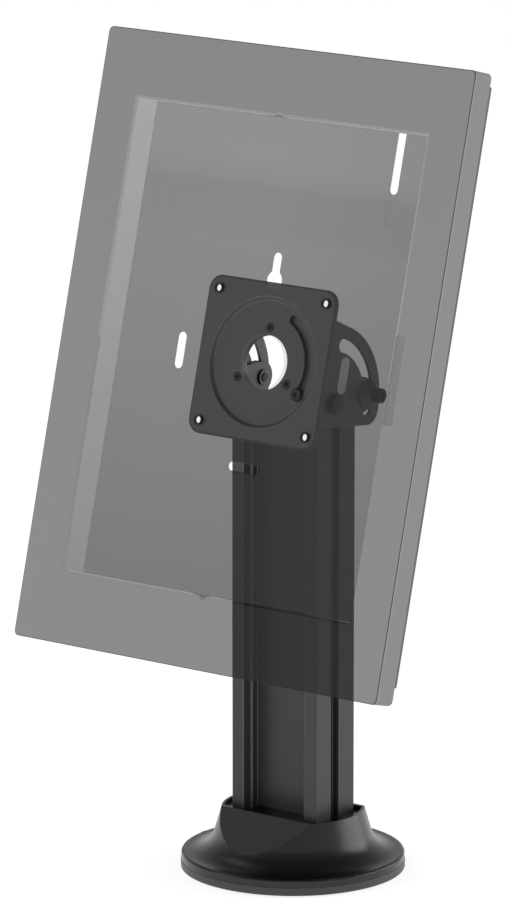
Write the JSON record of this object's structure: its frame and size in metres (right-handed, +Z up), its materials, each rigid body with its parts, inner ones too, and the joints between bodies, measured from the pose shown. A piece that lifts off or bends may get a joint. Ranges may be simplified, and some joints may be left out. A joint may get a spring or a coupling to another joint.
{
  "type": "desktop tablet stand",
  "caption": "See-through tablet case on a swivelling plate and slotted tilt yoke, on a channelled column with a round bell-covered base.",
  "frame": {"origin": "centre of the base's underside, on the column's axis", "axes": "+Z up along the column, -Y towards the user whom the screen faces, +X to the user's right"},
  "size_m": [0.2562, 0.1576, 0.4729],
  "materials": {
    "rubber": "matt black rubber",
    "dark_steel": "fine-grained satin black powder coat",
    "dark_column": "satin dark grey anodised extrusion",
    "cover_plastic": "semi-gloss black moulded plastic",
    "case_plastic": "see-through smoke-grey plastic",
    "zinc": "bright zinc-plated steel",
    "dark_zinc": "dark zinc-plated steel",
    "nylon": "natural nylon"
  },
  "bodies": {
    "stand": {"foot_pad": "rubber", "base_plate": "dark_steel", "base_cover": "cover_plastic", "cover_screws": "dark_zinc", "column_screws": "dark_zinc", "column": "dark_column", "saddle_bracket": "dark_steel", "saddle_screws": "dark_zinc", "friction_washers": "nylon", "pivot_bolts": "dark_zinc", "pivot_nuts": "dark_zinc", "lock_washers": "dark_steel", "lock_nuts": "dark_steel"},
    "lock_right": {"lock_screw_right": "dark_zinc"},
    "lock_left": {"lock_screw_left": "dark_zinc"},
    "yoke": {"yoke": "dark_steel", "stop_screw": "dark_zinc", "stop_nut": "dark_zinc"},
    "screen": {"vesa_plate": "dark_steel", "swivel_ring": "dark_steel", "swivel_screws": "dark_zinc", "swivel_washer_front": "nylon", "swivel_washer_back": "nylon", "vesa_screws": "zinc", "vesa_inserts": "dark_steel", "case_front": "case_plastic", "case_liner": "case_plastic", "case_back": "case_plastic", "tie_bar": "case_plastic", "case_screws": "dark_zinc"}
  },
  "joints": [
    {"name": "tilt", "type": "hinge", "parent": "stand", "child": "yoke", "pos_m": [0, -0.01645, 0.278], "axis": [-1, 0, 0], "range_deg": [-14.8, 72.2]},
    {"name": "swivel", "type": "hinge", "parent": "yoke", "child": "screen", "pos_m": [0, -0.02862, 0.29849], "axis": [0, 0.9668, -0.2554], "range_deg": [0, 90]},
    {"name": "lock_turn_right", "type": "hinge", "parent": "stand", "child": "lock_right", "pos_m": [0.045, 0.01645, 0.278], "axis": [1, 0, 0], "range_deg": [0, 180]},
    {"name": "lock_turn_left", "type": "hinge", "parent": "stand", "child": "lock_left", "pos_m": [-0.045, 0.01645, 0.278], "axis": [-1, 0, 0], "range_deg": [0, 180]}
  ]
}
